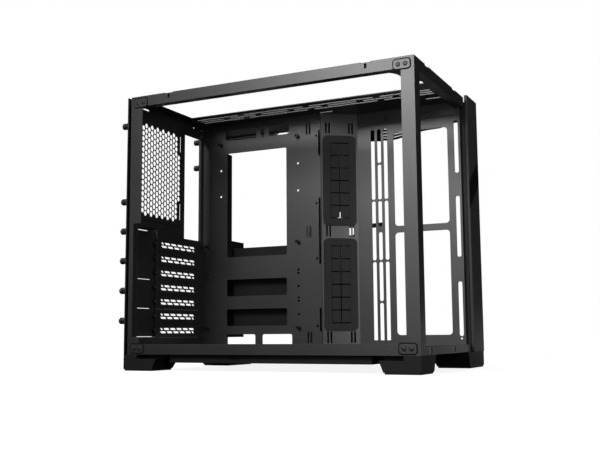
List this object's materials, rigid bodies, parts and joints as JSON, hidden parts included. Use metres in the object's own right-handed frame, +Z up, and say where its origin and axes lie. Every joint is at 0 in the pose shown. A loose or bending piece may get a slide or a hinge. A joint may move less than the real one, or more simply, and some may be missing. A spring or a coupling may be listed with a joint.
{
  "type": "computer case",
  "caption": "Open sheet-steel computer tower with two chambers, a board tray, slotted fan bracket, honeycomb rear grille, vented slot covers and flared feet.",
  "frame": {"origin": "centre of the case's bounding box, on the floor under its feet", "axes": "+X towards the front bezel, -Y towards the open window side, +Z up"},
  "size_m": [0.4314, 0.2712, 0.3785],
  "materials": {
    "powder_coat": "fine black powder coat",
    "black_plastic": "fine matt",
    "black_rubber": "matt",
    "grey_rubber": "matt",
    "black_screw": "black oxide",
    "bare_steel": "plain",
    "circuit_board": "lacquered board",
    "jack_plastic": "satin",
    "filter_fabric": "woven mesh"
  },
  "bodies": {
    "case": {"window_top_beam": "powder_coat", "window_sill": "powder_coat", "rear_post": "powder_coat", "front_post": "powder_coat", "rear_top_joint_plate": "powder_coat", "front_top_joint_plate": "powder_coat", "rear_bottom_joint_plate": "powder_coat", "front_bottom_joint_plate": "powder_coat", "joint_screws": "black_screw", "front_top_beam": "powder_coat", "front_sill": "powder_coat", "far_top_beam": "powder_coat", "far_sill": "powder_coat", "chamber_front_wall": "powder_coat", "rear_panel": "powder_coat", "rear_fan_grille": "powder_coat", "slot_cover_1": "powder_coat", "slot_cover_2": "powder_coat", "slot_cover_3": "powder_coat", "slot_cover_4": "powder_coat", "slot_cover_5": "powder_coat", "slot_cover_6": "powder_coat", "slot_cover_7": "powder_coat", "slot_screws": "black_screw", "slot_screw_channel": "powder_coat", "rear_thumbscrews": "black_screw", "board_tray": "powder_coat", "board_standoffs": "black_screw", "cable_plate": "powder_coat", "grommet_upper_seal": "black_rubber", "grommet_lower_seal": "black_rubber", "side_fan_bracket": "powder_coat", "top_deck": "powder_coat", "case_floor": "powder_coat", "filter_frame": "black_plastic", "filter_mesh": "filter_fabric", "drive_cage": "powder_coat", "supply_bracket": "powder_coat", "front_bezel": "black_plastic", "bezel_carrier": "black_plastic", "control_bracket": "powder_coat", "control_screws": "black_screw", "wide_sockets": "bare_steel", "cable_screen": "powder_coat", "small_socket_shell": "bare_steel", "sound_jack": "jack_plastic", "control_housing": "black_plastic", "control_board": "circuit_board", "button_switch": "black_plastic", "control_leads": "black_rubber", "grey_control_lead": "grey_rubber", "rear_window_foot": "black_plastic", "rear_window_pad": "black_rubber", "rear_far_foot": "black_plastic", "rear_far_pad": "black_rubber", "front_window_foot": "black_plastic", "front_window_pad": "black_rubber", "front_far_foot": "black_plastic", "front_far_pad": "black_rubber"},
    "button": {"power_button": "black_plastic"}
  },
  "joints": [
    {"name": "power_button_press", "type": "slide", "parent": "case", "child": "button", "axis": [0, 0, -1], "range_m": [0, 0.0012], "stiffness_N_per_m": 600}
  ]
}
